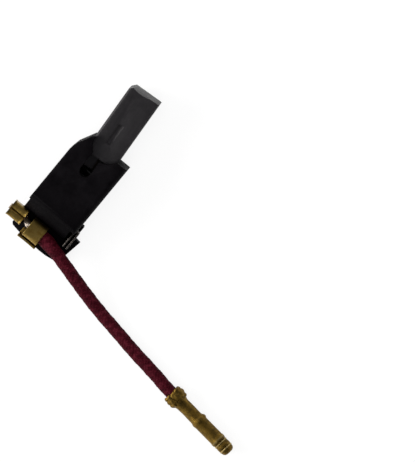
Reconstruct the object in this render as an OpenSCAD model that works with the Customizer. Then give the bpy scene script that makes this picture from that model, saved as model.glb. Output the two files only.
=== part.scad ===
// Carbon brush in its moulded holder, with a crimped flag terminal, a short sleeved lead and a bullet pin.
// It lies on its back: +Z is up, +Y runs along the holder to the contact end of the brush, and X is its width.
// The origin is on the back face, in the middle of the width, in line with the rear wall of the brush box.

/* [Carbon brush] */
// Width of the carbon block
brush_w = 6.35; // [5:0.05:8]
// Depth of the carbon block, front face to back face
brush_t = 6.35; // [5:0.05:8]
// Length of the carbon block along its own axis
brush_len = 17.8; // [15:0.1:22]
// Angle between the brush channel and the sides of the moulding, in degrees
brush_lean = 4; // [0:0.5:5]
// Distance from the rear wall to the heel of the block when it is fully out
heel_y = 11.2; // [10:0.1:12.5]
// Chamfer along the long edges of the block
brush_chamfer = 0.35; // [0.1:0.05:0.6]
// Radius of the commutator that the contact end is ground to
commutator_r = 6.5; // [6:0.5:30]
// Tilt of the ground end across the depth of the block, in degrees
end_tilt = 4; // [0:0.5:8]
// Size of the worn corner at the left of the ground end
corner_cut = 1.05; // [0.4:0.05:1.5]
// Length of the step at the heel, where the spring and the shunt sit
heel_len = 2.6; // [1.5:0.1:3.5]
// Depth of the step in the front face at the heel
heel_drop = 2.1; // [1:0.1:2.2]
// Depth of the groove in the front face of the block
groove_depth = 0.4; // [0.1:0.05:0.6]
// Running clearance between the block and its channel, on each side
run_gap = 0.05; // [0.02:0.01:0.1]

/* [Holder moulding] */
// Width of the brush box
box_w = 10.8; // [10.4:0.1:13]
// Length of the brush box from its rear wall to the right side of its mouth
box_len = 15.5; // [14.5:0.1:19]
// How far the left lip of the mouth stands above its right side
lip_rise = 1.3; // [0.4:0.1:1.6]
// Wall behind the brush
back_wall = 1.5; // [1:0.1:2.5]
// Wall in front of the brush
front_wall = 1.4; // [1:0.1:2]
// Thickness of the rear wall of the box
rear_wall = 1.5; // [1.2:0.1:2]
// Radius along the right front edge of the box
right_r = 1.35; // [0.5:0.05:1.8]
// Radius along the left front edge of the box
left_r = 0.3; // [0.1:0.05:1]
// Radius along the rear front edge of the box
rear_r = 1.4; // [0.5:0.05:2]
// Radius of the thumb notch in the front wall
notch_r = 3.1; // [3:0.1:4]
// Depth of the thumb notch below the right side of the mouth
notch_depth = 1.95; // [1:0.1:2.5]
// Width of the shunt slot in the front wall
slot_w = 2.2; // [1.5:0.1:2.8]
// Distance from the rear wall to the lower end of the shunt slot
slot_y = 9.5; // [8:0.1:11]
// Reach of the hood behind the rear wall, over the terminal's strip
hood_len = 2.3; // [1:0.1:2.6]
// Thickness of the foot
foot_t = 2.9; // [2:0.1:3.5]
// Length of the foot behind the brush box
foot_len = 7.05; // [6.5:0.05:9]
// Reach of the lug past the right side of the brush box
lug_reach = 1.7; // [1:0.1:2.5]

/* [Flag terminal] */
// Thickness of the brass strip
strip_t = 0.4; // [0.3:0.05:0.5]
// Length of the conductor crimp
wire_crimp_len = 3.25; // [2.5:0.05:4]
// Width of the conductor crimp
wire_crimp_w = 2.9; // [2.6:0.1:3.4]
// Height of the conductor crimp above the foot
wire_crimp_h = 3.3; // [2.9:0.1:3.8]
// Length of the insulation crimp
sleeve_crimp_len = 3.3; // [2.5:0.1:4]
// Width of the insulation crimp
sleeve_crimp_w = 4.0; // [3.7:0.1:4.4]
// Space between the two crimps
crimp_space = 1.7; // [1:0.05:2]

/* [Spring and shunt] */
// Outer diameter of the pressure spring
spring_d = 4.6; // [4:0.1:5]
// Wire diameter of the pressure spring
spring_wire = 0.4; // [0.3:0.05:0.5]
// Turns of the pressure spring
spring_turns = 7; // [5:1:8]
// Diameter of the copper shunt
shunt_d = 0.9; // [0.6:0.05:1.2]
// Diameter of the tamped plug that holds the shunt in the block
plug_d = 2.2; // [1.6:0.1:2.6]
// Depth of the tamped plug in the block
plug_len = 3; // [2:0.1:4]

/* [Lead and pin] */
// Outer diameter of the sleeved lead
lead_d = 2.5; // [2.2:0.05:2.6]
// Diameter of the bared stranded conductor
strand_d = 1.5; // [1:0.05:1.7]
// Diameter of the pin's plain barrel
pin_d = 2.78; // [2.6:0.02:3]
// Length of the pin's plain barrel
barrel_len = 4.0; // [3:0.1:5]
// Wall of the rolled pin
pin_wall = 0.35; // [0.25:0.05:0.45]
// Width of the seam along the underside of the rolled pin
seam_w = 0.2; // [0.1:0.05:0.4]

/* [Hidden] */
$fn = 64;

// clearances and derived sizes of the holder
cut = 0.5;                                   // how far a cut runs past the face that it opens
fit_gap = 0.05;                              // clearance round a pressed-in metal part
chan_w = brush_w + 2 * run_gap;
chan_t = brush_t + 2 * run_gap;
box_t = back_wall + chan_t + front_wall;
half_w = box_w / 2;
front_z = box_t;
mid_z = back_wall + chan_t / 2;
mouth_y = box_len;
lip_y = box_len + lip_rise;

// shape of the mouth's left shoulder
shoulder_y = box_len - 2.0;                  // where the left side starts to lean in
shoulder_in = 0.33;                          // how far it has leaned in there
lip_in = 1.87;                               // how far in the top of the shoulder is
lip_end = 2.5;                               // how far in the lip's flat ends

// the slide axis crosses the mouth on the centreline and leans to the left as it runs out
function axis_x(y) = (mouth_y - y) * tan(brush_lean);
notch_x = 0.15;
slot_x = -0.5;

// flag terminal
strip_z = foot_t;
wire_crimp_y = -hood_len - 1.5;
sleeve_crimp_y = wire_crimp_y - 0.7;
crimp_right = 1.25;                          // right-hand end of the insulation crimp
lap_over = [0.55, 0.25];                     // how far its outer wing runs past it, left and right
sleeve_crimp_x = crimp_right - sleeve_crimp_len;
wire_crimp_x = sleeve_crimp_x - crimp_space - wire_crimp_len;
sleeve_bed = 0.25;                           // packing between the base strip and the sleeve
lead_z = strip_z + strip_t + lead_d / 2 + sleeve_bed;
seat_y = rear_wall + strip_t;
tail_left = -half_w + 0.1;                   // left edge of the strip where it enters the box
tail_right = axis_x(rear_wall) - chan_w / 2 + 1.4;
seat_left = axis_x(rear_wall) - chan_w / 2 + 0.3;
seat_right = axis_x(rear_wall) + chan_w / 2 - 0.9;
seat_low = back_wall + 0.2;
seat_high = front_z - front_wall - 0.3;

// spring and shunt
spring_x = (axis_x(rear_wall) + axis_x(heel_y)) / 2;
spring_low = seat_y;
spring_high = heel_y + 0.05;

// retaining clip
clip_t = 0.3;
clip_gap = 0.46;
clip_h = 3.1;
clip_len = 3.9;
clip_x = half_w - 0.4;
clip_y = -3.3;

// pin stations along its axis, from the back of its insulation wings
pin_at = [37.7, -11.9];
pin_z = 1.7;
pin_turn = -5.9;
wing_len = 2.2;
neck_len = 4.9;
collar_len = 0.8;
bead_len = 0.9;
nose_len = 2.65;
collar_x = wing_len + neck_len;
barrel_x = collar_x + collar_len;
bead_x = barrel_x + barrel_len;
nose_x = bead_x + bead_len;
pin_len = nose_x + nose_len;

// route of the lead, from the bared end in the crimp to the end in the pin's wings
lead_route = [
    [-1.9, sleeve_crimp_y, lead_z], [-0.6, sleeve_crimp_y, lead_z], [1.1, sleeve_crimp_y, lead_z], [3.3, -4.8, 4.8],
    [5.5, -5.3, 4.75], [8.4, -6.1, 4.35], [11.0, -6.9, 3.4], [13.7, -7.7, 2.4], [16.4, -8.4, 1.75],
    [19.2, -9.0, 1.4], [22.1, -9.5, 1.3], [25.0, -10.0, 1.3], [27.9, -10.5, 1.3], [30.9, -10.9, 1.35],
    [33.8, -11.3, 1.5], [36.2, -11.7, 1.65], [37.7, -11.9, 1.7], [39.6, -12.1, 1.7]
];

// ---- shared shapes ----

// A slab along Y whose X-Z profile is a rectangle with two rounded front corners
module long_profile(w, t, y0, y1, r_left, r_right) {
    translate([0, y1, 0]) rotate([90, 0, 0]) linear_extrude(y1 - y0) union() {
        translate([-w / 2, 0]) square([w, t - max(r_left, r_right)]);
        translate([-w / 2 + r_left, 0]) square([w - r_left - r_right, t]);
        translate([-w / 2, 0]) square([w / 2, t - r_left]);
        translate([-w / 2 + r_left, t - r_left]) circle(r = r_left);
        translate([w / 2 - r_right, t - r_right]) circle(r = r_right);
    }
}

// A rounded rectangle from its lower left corner
module round_rect(size, r) {
    translate([r, 0]) square([size[0] - 2 * r, size[1]]);
    translate([0, r]) square([size[0], size[1] - 2 * r]);
    for (x = [r, size[0] - r], y = [r, size[1] - r]) translate([x, y]) circle(r = r);
}

// Extrudes a Y-Z profile along X, from x0 over len
module along_x(x0, len) {
    translate([x0, 0, 0]) rotate([90, 0, 90]) linear_extrude(len) children();
}

// Puts its children on the slide axis: local +Y is the axis, local origin is the heel's centre
module on_brush_axis() {
    translate([axis_x(heel_y), heel_y, mid_z]) rotate([0, 0, brush_lean]) children();
}

// A tube swept along points: each ring lies across the path
function unit(v) = v / norm(v);
function heading(p, i) = unit(p[min(i + 1, len(p) - 1)] - p[max(i - 1, 0)]);
function ring_points(p, i, r, sides) =
    let (d = heading(p, i), side = unit(cross([0, 0, 1], d)), up = cross(d, side))
    [for (k = [0:sides - 1]) p[i] + r * (cos(360 * k / sides) * side + sin(360 * k / sides) * up)];
module tube(p, r, sides) {
    n = len(p);
    polyhedron(
        points = [for (i = [0:n - 1]) each ring_points(p, i, r, sides)],
        faces = concat(
            [[for (k = [0:sides - 1]) k]],
            [for (i = [0:n - 2], k = [0:sides - 1])
                let (a = i * sides + k, b = i * sides + (k + 1) % sides) [a, a + sides, b + sides, b]],
            [[for (k = [sides - 1:-1:0]) (n - 1) * sides + k]]
        )
    );
}

// A smooth curve through the points, with a few steps to each span
function smooth(p, steps) = concat(
    [for (i = [0:len(p) - 2], s = [0:steps - 1])
        let (t = s / steps, a = p[max(i - 1, 0)], b = p[i], c = p[i + 1], d = p[min(i + 2, len(p) - 1)])
        0.5 * (2 * b + (c - a) * t + (2 * a - 5 * b + 4 * c - d) * t * t
               + (3 * b - a - 3 * c + d) * t * t * t)],
    [p[len(p) - 1]]);

// ---- sub-parts ----

module box_outline() {
    polygon([
        [-half_w, 0], [half_w, 0], [half_w, mouth_y], [half_w - lip_end, mouth_y],
        [-half_w + lip_end + 1.2, lip_y + 0.2], [-half_w + lip_end, lip_y + 0.2],
        [-half_w + lip_in, lip_y - 0.3], [-half_w + shoulder_in, shoulder_y], [-half_w, shoulder_y - 1.6]
    ]);
}

module foot_outline() {
    polygon([
        [-half_w + 0.35, -foot_len + 1.05], [-half_w + 0.7, -foot_len + 0.65],
        [-half_w + 2.1, -foot_len + 0.4], [half_w - 3.3, -foot_len], [half_w - 1.7, -foot_len + 0.05],
        [half_w + 0.1, -foot_len + 0.35], [half_w + 0.85, -foot_len + 1.2],
        [half_w + lug_reach - 0.55, -foot_len + 2.5], [half_w + lug_reach, -1.2], [half_w + 0.5, -1.05],
        [half_w + 0.5, 1.4], [half_w + 0.35, 1.7], [half_w - 0.2, 1.7], [half_w - 0.2, 3],
        [-half_w + 0.35, 3]
    ]);
}

module holder() {
    color([0.06, 0.05, 0.06]) difference() {
        union() {
            // brush box: its plan, its rounded long edges and its rounded rear edge
            intersection() {
                linear_extrude(box_t) box_outline();
                long_profile(box_w, box_t, -cut, lip_y + 1, left_r, right_r);
                along_x(-half_w - cut, box_w + 2 * cut) union() {
                    square([lip_y + 1, box_t - rear_r]);
                    translate([rear_r, 0]) square([lip_y + 1 - rear_r, box_t]);
                    translate([rear_r, box_t - rear_r]) circle(r = rear_r);
                }
            }
            linear_extrude(foot_t) foot_outline();
            // hood behind the rear wall: it slopes down over the terminal's strip
            along_x(-half_w + 0.25, box_w - 1.25) polygon([
                [1, foot_t - 0.1], [-hood_len + 0.5, foot_t - 0.1], [-hood_len + 0.5, foot_t + 0.9],
                [-hood_len, foot_t + 1.3], [-hood_len, foot_t + 1.6], [-hood_len + 0.5, box_t - 3.3],
                [-0.9, box_t - 1.7], [0.1, box_t - 0.75], [1, box_t - 0.3]
            ]);
            // low rib beside the clip
            translate([half_w - 1.55, -2.8, foot_t - 0.1]) cube([0.5, 3, 0.9]);
        }
        // brush channel, open at the mouth
        on_brush_axis() translate([-chan_w / 2, -heel_y, -chan_t / 2]) cube([chan_w, heel_y + 10, chan_t]);
        // thumb notch and shunt slot in the front wall
        translate([notch_x, mouth_y - notch_depth + notch_r, mid_z]) cylinder(r = notch_r, h = box_t);
        translate([slot_x, slot_y + slot_w / 2, mid_z]) cylinder(d = slot_w, h = box_t);
        translate([slot_x - slot_w / 2, slot_y + slot_w / 2, mid_z])
            cube([slot_w, mouth_y - slot_y - slot_w, box_t]);
        // way in for the terminal's strip, open at the left side and under the hood
        translate([-half_w - cut, -hood_len - cut, strip_z])
            cube([tail_right + half_w + cut + fit_gap, hood_len + cut + seat_y + fit_gap, strip_t + fit_gap]);
        // pocket for the bend of the retaining clip
        translate([clip_x - fit_gap, -cut, foot_t])
            cube([half_w, cut + clip_y + clip_len + fit_gap, clip_h + fit_gap]);
    }
}

// The ground end: a cylinder across the depth of the block, tilted so that it cuts deeper at the front
module commutator_cut() {
    sag = 0.3;
    off_centre = -0.75;
    translate([off_centre, brush_len - sag + commutator_r, brush_t / 2])
        rotate([end_tilt, 0, 0]) translate([0, 0, -brush_t * 1.5])
            cylinder(r = commutator_r, h = brush_t * 2);
}

module carbon_block() {
    color([0.17, 0.16, 0.17]) on_brush_axis() difference() {
        translate([0, brush_len, 0]) rotate([90, 0, 0]) linear_extrude(brush_len) polygon([
            for (sx = [[-1, -1], [1, -1], [1, 1], [-1, 1]], k = [0, 1])
                let (turn = sx[0] * sx[1] > 0 ? k : 1 - k)
                [sx[0] * (brush_w / 2 - brush_chamfer * turn), sx[1] * (brush_t / 2 - brush_chamfer * (1 - turn))]
        ]);
        commutator_cut();
        // worn corner at the left of the ground end
        translate([-brush_w / 2, brush_len + 0.35 - corner_cut, -brush_t]) rotate([0, 0, 45])
            cube([2 * corner_cut, 4 * corner_cut, 2 * brush_t]);
        // step in the front face at the heel
        translate([-brush_w, -cut, brush_t / 2 - heel_drop]) cube([2 * brush_w, heel_len + cut, brush_t]);
        // hole for the tamped plug
        translate([0, plug_len, 0]) rotate([90, 0, 0]) cylinder(d = plug_d, h = plug_len + cut);
        // shallow groove in the front face
        translate([-0.85, 5.8, brush_t / 2 - groove_depth]) cube([1.05, 4.3, 1]);
    }
}

module tamped_plug() {
    color([0.45, 0.24, 0.14]) on_brush_axis()
        translate([0, plug_len, 0]) rotate([90, 0, 0]) cylinder(d = plug_d, h = plug_len);
}

module pressure_spring() {
    coil_r = (spring_d - spring_wire) / 2;
    rise = spring_high - spring_low - spring_wire;
    steps = 20;
    function coil_point(i) =
        let (t = i / (spring_turns * steps), a = 360 * i / steps,
             flat = t < 1 / spring_turns ? 0.35 * t
                  : t > 1 - 1 / spring_turns ? 1 - 0.35 * (1 - t)
                  : 0.35 / spring_turns + (t - 1 / spring_turns) * (1 - 0.7 / spring_turns) / (1 - 2 / spring_turns))
        [spring_x + coil_r * cos(a), spring_low + spring_wire / 2 + rise * flat, mid_z + coil_r * sin(a)];
    function coil_ring(i) =
        let (d = unit(coil_point(i + 1) - coil_point(i - 1)), side = unit(cross([0, 1, 0], d)), up = cross(d, side))
        [for (k = [0:5]) coil_point(i) + spring_wire / 2 * (cos(60 * k) * side + sin(60 * k) * up)];
    n = spring_turns * steps;
    color([0.62, 0.62, 0.64]) polyhedron(
        points = [for (i = [0:n]) each coil_ring(i)],
        faces = concat(
            [[for (k = [0:5]) k]],
            [for (i = [0:n - 1], k = [0:5])
                let (a = i * 6 + k, b = i * 6 + (k + 1) % 6) [a, a + 6, b + 6, b]],
            [[for (k = [5:-1:0]) n * 6 + k]]
        )
    );
}

module shunt() {
    heel = [axis_x(heel_y), heel_y, mid_z];
    run_out = [-sin(brush_lean), cos(brush_lean), 0];
    bends = [
        [spring_x, seat_y + 0.9, mid_z], [spring_x + 0.5, seat_y + 2.6, mid_z + 0.6],
        [spring_x - 0.5, seat_y + 4.4, mid_z - 0.7], [spring_x + 0.4, seat_y + 6.2, mid_z + 0.6],
        heel - 0.9 * run_out
    ];
    color([0.72, 0.42, 0.25])
        tube(concat([[spring_x, seat_y, mid_z]], smooth(bends, 4), [heel]), shunt_d / 2, 8);
}

// Conductor crimp: a base with two wings that curl in and meet in a seam along the top
module wire_crimp_profile() {
    lobe_r = wire_crimp_w / 4 + 0.05;
    for (side = [-1, 1]) translate([side * (wire_crimp_w / 2 - lobe_r), wire_crimp_h - lobe_r]) circle(r = lobe_r);
    round_rect_at(wire_crimp_w, wire_crimp_h - lobe_r, 0.5);
}

module round_rect_at(w, h, r) {
    translate([-w / 2, 0]) round_rect([w, h + r], r);
}

// The space left in the conductor crimp, or with no gap the pressed strands that fill it
module wire_bore_profile(gap) {
    flat_d = 1.3 + 2 * gap;
    translate([0, strip_t + 0.75]) {
        for (side = [-0.4, 0.4]) translate([side, 0]) circle(d = flat_d);
        translate([-0.4, -flat_d / 2]) square([0.8, flat_d]);
    }
}

// Insulation crimp: a wrap round the sleeve, split from its outer wing by a fine gap
module sleeve_crimp_profile() {
    h = lead_z - strip_z + lead_d / 2 + strip_t;
    difference() {
        round_rect_at(sleeve_crimp_w, h, 1.0);
        translate([0, lead_z - strip_z]) circle(d = lead_d + 2 * fit_gap);
    }
}

// The outer wing, folded up outside the wrap on its rear side
module outer_wing_profile() {
    lap = 0.05;
    translate([-sleeve_crimp_w / 2 - strip_t - lap, 0.1]) round_rect([strip_t, strip_t + 1.9], 0.18);
    translate([-sleeve_crimp_w / 2 - strip_t / 2 - lap, 0.1]) square([strip_t + 1, strip_t]);
}

module flag_terminal() {
    color([0.42, 0.34, 0.17]) union() {
        along_x(wire_crimp_x, wire_crimp_len) translate([wire_crimp_y, strip_z]) difference() {
            wire_crimp_profile();
            wire_bore_profile(0.02);
        }
        along_x(sleeve_crimp_x, sleeve_crimp_len) translate([sleeve_crimp_y, strip_z]) sleeve_crimp_profile();
        along_x(sleeve_crimp_x - lap_over[0], sleeve_crimp_len + lap_over[0] + lap_over[1])
            translate([sleeve_crimp_y, strip_z]) outer_wing_profile();
        // base strip under both crimps, and the tail that turns into the box
        translate([0, 0, strip_z]) linear_extrude(strip_t) polygon([
            [wire_crimp_x + 0.3, wire_crimp_y - 0.9], [sleeve_crimp_x + 1, sleeve_crimp_y + 0.2],
            [sleeve_crimp_x + 1, sleeve_crimp_y + 1.3], [tail_right, -1.2], [tail_right, seat_y],
            [tail_left, seat_y], [tail_left, -0.8], [wire_crimp_x + 0.7, wire_crimp_y + 1.2]
        ]);
        // spring seat, folded up across the rear end of the channel
        translate([seat_left, rear_wall, seat_low])
            cube([seat_right - seat_left, strip_t, seat_high - seat_low]);
    }
}

module retaining_clip() {
    reach = 2 * clip_t + clip_gap;
    color([0.55, 0.52, 0.46]) translate([clip_x, clip_y, foot_t]) linear_extrude(clip_h) union() {
        square([clip_t, clip_len - reach / 2]);
        translate([reach - clip_t, 0]) square([clip_t, clip_len - reach / 2]);
        translate([reach / 2, clip_len - reach / 2]) intersection() {
            difference() {
                circle(d = reach);
                circle(d = clip_gap);
            }
            translate([-reach, 0]) square([2 * reach, reach]);
        }
    }
}

// The stranded conductor where it is bared: pressed flat in its crimp, then round up to the sleeve
module conductor() {
    crimp_end = wire_crimp_x + wire_crimp_len;
    color([0.78, 0.73, 0.68]) {
        translate([0, 0, strip_z]) along_x(wire_crimp_x - 0.25, wire_crimp_len + 0.45)
            translate([wire_crimp_y, 0]) wire_bore_profile(0);
        tube([
            [crimp_end + 0.03, wire_crimp_y, strip_z + strip_t + 0.75],
            [crimp_end + 0.48, wire_crimp_y, strip_z + strip_t + 0.75],
            [lead_route[0][0] - 0.45, sleeve_crimp_y, lead_z], lead_route[0]
        ], strand_d / 2, 10);
    }
}

module on_pin_axis() {
    translate([pin_at[0], pin_at[1], pin_z]) rotate([0, 0, pin_turn]) children();
}

module lead_sleeve() {
    color([0.42, 0.1, 0.15]) tube(smooth(lead_route, 3), lead_d / 2, 8);
}

// The rolled pin: revolved outside with a bore and an open seam below, and two wings lapped on the sleeve
module pin_outside() {
    r = pin_d / 2;
    neck_r = r - 0.07;
    shoulder_r = lead_d / 2 + 0.29;
    rotate([0, 90, 0]) rotate_extrude() polygon([
        [0, wing_len - 0.2], [shoulder_r, wing_len - 0.2], [neck_r, wing_len + 0.75],
        [neck_r - 0.05, collar_x - 0.4], [r + 0.09, collar_x], [r + 0.07, barrel_x - 0.15], [r, barrel_x],
        [r, bead_x], [r + 0.07, bead_x + 0.2], [r + 0.05, nose_x - 0.2], [r - 0.03, nose_x],
        [r - 0.14, nose_x + 0.12], [r - 0.03, nose_x + 0.24], [r, nose_x + 1.4], [r - 0.14, nose_x + 1.52],
        [r - 0.03, nose_x + 1.64], [r - 0.2, pin_len - 0.5], [r - 0.65, pin_len], [0, pin_len]
    ]);
}

module pin_wings() {
    along_x(0, wing_len) difference() {
        union() {
            circle(r = lead_d / 2 + strip_t);
            translate([-lead_d / 2 - strip_t - 0.3, -0.4]) round_rect([lead_d + 2 * strip_t + 0.6, 1.6], 0.3);
        }
        circle(d = lead_d + 2 * fit_gap);
    }
}

module bullet_pin() {
    color([0.36, 0.28, 0.13]) on_pin_axis() union() {
        difference() {
            pin_outside();
            translate([barrel_x, 0, 0]) rotate([0, 90, 0]) cylinder(r = pin_d / 2 - pin_wall, h = barrel_len + bead_len);
            translate([barrel_x, -seam_w / 2, -pin_d]) cube([barrel_len + bead_len, seam_w, pin_d]);
        }
        pin_wings();
    }
}

holder();
carbon_block();
tamped_plug();
pressure_spring();
shunt();
flag_terminal();
retaining_clip();
conductor();
lead_sleeve();
bullet_pin();
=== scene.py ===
"""Looks for a spring-fed carbon brush in its moulded holder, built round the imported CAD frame.

Sizes are in millimetres and angles in degrees, unless a name or a comment says otherwise.
"""

import logging
import math
from dataclasses import dataclass, field
from enum import Enum

import bmesh
import bpy
import numpy as np
from bpy.types import Material, Mesh, Node, NodeSocket, NodeTree, Object
from mathutils import Matrix, Vector


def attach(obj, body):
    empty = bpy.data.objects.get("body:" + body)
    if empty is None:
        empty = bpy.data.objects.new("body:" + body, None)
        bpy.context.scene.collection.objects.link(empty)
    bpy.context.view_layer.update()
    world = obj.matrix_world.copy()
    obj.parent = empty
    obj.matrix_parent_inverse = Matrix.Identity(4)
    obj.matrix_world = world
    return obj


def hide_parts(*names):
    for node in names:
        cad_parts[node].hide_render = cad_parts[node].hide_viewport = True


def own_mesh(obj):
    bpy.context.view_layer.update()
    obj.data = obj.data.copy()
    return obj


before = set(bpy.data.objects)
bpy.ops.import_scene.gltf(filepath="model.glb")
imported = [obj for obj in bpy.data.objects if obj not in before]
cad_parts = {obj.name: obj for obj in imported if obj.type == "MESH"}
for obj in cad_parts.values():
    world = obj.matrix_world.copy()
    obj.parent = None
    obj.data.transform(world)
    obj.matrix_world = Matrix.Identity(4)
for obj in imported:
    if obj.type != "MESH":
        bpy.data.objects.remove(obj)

LOG = logging.getLogger("carbon_brush")
MM = 0.001
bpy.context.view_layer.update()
LEAN = 4.0  # degrees between the brush channel and the box's sides
SOFT = 0.7  # radians: an edge that turns less than this is shaded smooth
Colour = tuple[float, float, float]


class Body(Enum):
    """The two rigid bodies of the part."""

    HOLDER = "holder"
    BRUSH = "brush"


class Slot(Enum):
    """The record's material slots."""

    MOULDING = "moulding"
    GRAPHITE = "graphite"
    COPPER = "copper"
    SPRING = "spring_steel"
    BRASS = "brass"
    TINNED = "tinned_copper"
    CLIP = "clip_steel"
    SLEEVE = "sleeve"


# ---------------------------------------------------------------- shader tools


def add_node(tree: NodeTree, kind: str, **settings: object) -> Node:
    """Adds a node to a tree.

    Args:
        tree: a shader or Geometry Nodes tree.
        kind: the node's type.
        settings: properties of the node, or values of its inputs with _ for a space.

    Returns:
        The new node.
    """
    node = tree.nodes.new(kind)
    for key, value in settings.items():
        if hasattr(node, key):
            setattr(node, key, value)
        else:
            node.inputs[key.replace("_", " ")].default_value = value
    return node


def maths(tree: NodeTree, kind: str, *sources: object) -> NodeSocket:
    """Adds a Math node.

    Args:
        tree: a shader or Geometry Nodes tree.
        kind: the node's operation.
        sources: its inputs in order, each a socket to link or a plain number.

    Returns:
        The node's output.
    """
    node = add_node(tree, "ShaderNodeMath", operation=kind)
    for socket, source in zip(node.inputs, sources):
        if isinstance(source, NodeSocket):
            tree.links.new(source, socket)
        else:
            socket.default_value = source
    return node.outputs[0]


@dataclass
class Shader:
    """A material's node tree, with short calls to add and join nodes."""

    name: str
    material: Material = field(init=False)

    def __post_init__(self) -> None:
        """Makes the material with only a Principled shader and its output."""
        self.material = bpy.data.materials.new(self.name)
        self.material.use_nodes = True
        self.tree = self.material.node_tree
        self.tree.nodes.clear()
        self.out = self.tree.nodes.new("ShaderNodeOutputMaterial")
        self.bsdf = self.tree.nodes.new("ShaderNodeBsdfPrincipled")
        self.join(self.bsdf, "BSDF", self.out, "Surface")

    def add(self, kind: str, **settings: object) -> Node:
        """Adds a shader node, whose settings are as add_node takes them."""
        return add_node(self.tree, "ShaderNode" + kind, **settings)

    def join(self, a: Node, out: str | int, b: Node, socket: str | int) -> None:
        """Joins output out of node a to input socket of node b."""
        self.tree.links.new(a.outputs[out], b.inputs[socket])

    def group(self, tree: NodeTree, **inputs: float) -> Node:
        """Adds a node group.

        Args:
            tree: the group's tree.
            inputs: values of its inputs, with _ for a space.

        Returns:
            The group's node, fed with Object coordinates.
        """
        node = self.add("Group", node_tree=tree, **inputs)
        coords = self.add("TexCoord")
        self.join(coords, "Object", node, "Place")
        return node

    def ramp(self, source: Node, out: str | int, stops: list[tuple[float, Colour]]) -> Node:
        """Puts a colour ramp behind an output.

        Args:
            source: the node that feeds the ramp.
            out: its output.
            stops: places from 0 to 1, each with a colour.

        Returns:
            The ramp's node.
        """
        node = self.add("ValToRGB")
        while len(node.color_ramp.elements) < len(stops):
            node.color_ramp.elements.new(1.0)
        for element, (place, colour) in zip(node.color_ramp.elements, stops):
            element.position = place
            element.color = (*colour, 1.0)
        self.join(source, out, node, "Fac")
        return node

    def span(self, source: Node, out: str | int, low: float, high: float) -> Node:
        """Maps an output from 0..1 to another range.

        Args:
            source: the node that gives the value.
            out: its output.
            low: what 0 becomes.
            high: what 1 becomes.

        Returns:
            The Map Range node.
        """
        node = self.add("MapRange", To_Min=low, To_Max=high)
        self.join(source, out, node, "Value")
        return node

    def bump(self, source: Node, out: str | int, depth: float, strength: float = 1.0) -> None:
        """Turns an output into a bump on the shader.

        Args:
            source: the node that gives the height.
            out: its output.
            depth: the height of a full step, in metres.
            strength: how much of the bump is used.
        """
        node = self.add("Bump", Strength=strength, Distance=depth)
        self.join(source, out, node, "Height")
        self.join(node, "Normal", self.bsdf, "Normal")

    def put(self, **values: object) -> None:
        """Sets constant inputs of the Principled shader, named with _ for a space."""
        for key, value in values.items():
            self.bsdf.inputs[key.replace("_", " ")].default_value = value


def new_group(name: str, sizes: dict[str, float], outputs: tuple[str, ...]) -> NodeTree:
    """Makes an empty shader node group with Place and the given sizes as inputs.

    Args:
        name: the group's name.
        sizes: the name and default of each further input.
        outputs: names of its float outputs.

    Returns:
        The group's tree, with its input and output nodes.
    """
    tree = bpy.data.node_groups.new(name, "ShaderNodeTree")
    tree.interface.new_socket("Place", in_out="INPUT", socket_type="NodeSocketVector")
    for label, value in sizes.items():
        socket = tree.interface.new_socket(label, in_out="INPUT", socket_type="NodeSocketFloat")
        socket.default_value = value
    for label in outputs:
        tree.interface.new_socket(label, in_out="OUTPUT", socket_type="NodeSocketFloat")
    tree.nodes.new("NodeGroupInput")
    tree.nodes.new("NodeGroupOutput")
    return tree


def noise_mask(
    tree: NodeTree, place: NodeSocket, size: NodeSocket, levels: tuple[float, float], **settings: float
) -> NodeSocket:
    """Adds noise of a size in millimetres, cut to 0..1 between two levels.

    Args:
        tree: the group's tree.
        place: the coordinates that the noise reads.
        size: the noise's size in millimetres.
        levels: the noise levels that become 0 and 1.
        settings: further inputs of the Noise Texture node.

    Returns:
        The mask's output.
    """
    grain = add_node(tree, "ShaderNodeTexNoise", **settings)
    cut = add_node(tree, "ShaderNodeMapRange", From_Min=levels[0], From_Max=levels[1])
    tree.links.new(place, grain.inputs["Vector"])
    tree.links.new(maths(tree, "DIVIDE", 1.0 / MM, size), grain.inputs["Scale"])
    tree.links.new(grain.outputs["Fac"], cut.inputs["Value"])
    return cut.outputs["Result"]


def grain_group() -> NodeTree:
    """Builds the shared surface grain: soft mottling and a fine tooth.

    Returns:
        A group with the outputs Mottle and Tooth, both from 0 to 1.
    """
    tree = new_group("surface grain", {"Mottle size": 1.0, "Tooth size": 0.1}, ("Mottle", "Tooth"))
    start, end = tree.nodes
    for label, detail, rough in (("Mottle", 4.0, 0.6), ("Tooth", 2.0, 0.7)):
        size = start.outputs[f"{label} size"]
        mask = noise_mask(tree, start.outputs["Place"], size, (0.3, 0.7), Detail=detail, Roughness=rough)
        tree.links.new(mask, end.inputs[label])
    return tree


def drawn_group() -> NodeTree:
    """Builds the shared drawn lines: fine streaks along the frame's Y axis, turned by Turn.

    Returns:
        A group with the outputs Lines and Scuffs, both from 0 to 1.
    """
    tree = new_group("drawn lines", {"Turn": 0.0, "Width": 0.12}, ("Lines", "Scuffs"))
    start, end = tree.nodes
    turn = add_node(tree, "ShaderNodeVectorRotate", rotation_type="Z_AXIS")
    tree.links.new(start.outputs["Place"], turn.inputs["Vector"])
    tree.links.new(start.outputs["Turn"], turn.inputs["Angle"])
    for label, squeeze, levels in (
        ("Lines", (1.0, 0.02, 1.0), (0.3, 0.7)),
        ("Scuffs", (0.5, 0.06, 0.5), (0.6, 0.72)),
    ):
        stretch = add_node(tree, "ShaderNodeVectorMath", operation="MULTIPLY")
        stretch.inputs[1].default_value = squeeze
        tree.links.new(turn.outputs["Vector"], stretch.inputs[0])
        mask = noise_mask(tree, stretch.outputs["Vector"], start.outputs["Width"], levels, Detail=3.0)
        tree.links.new(mask, end.inputs[label])
    return tree


# ---------------------------------------------------------------- finishes


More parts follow.
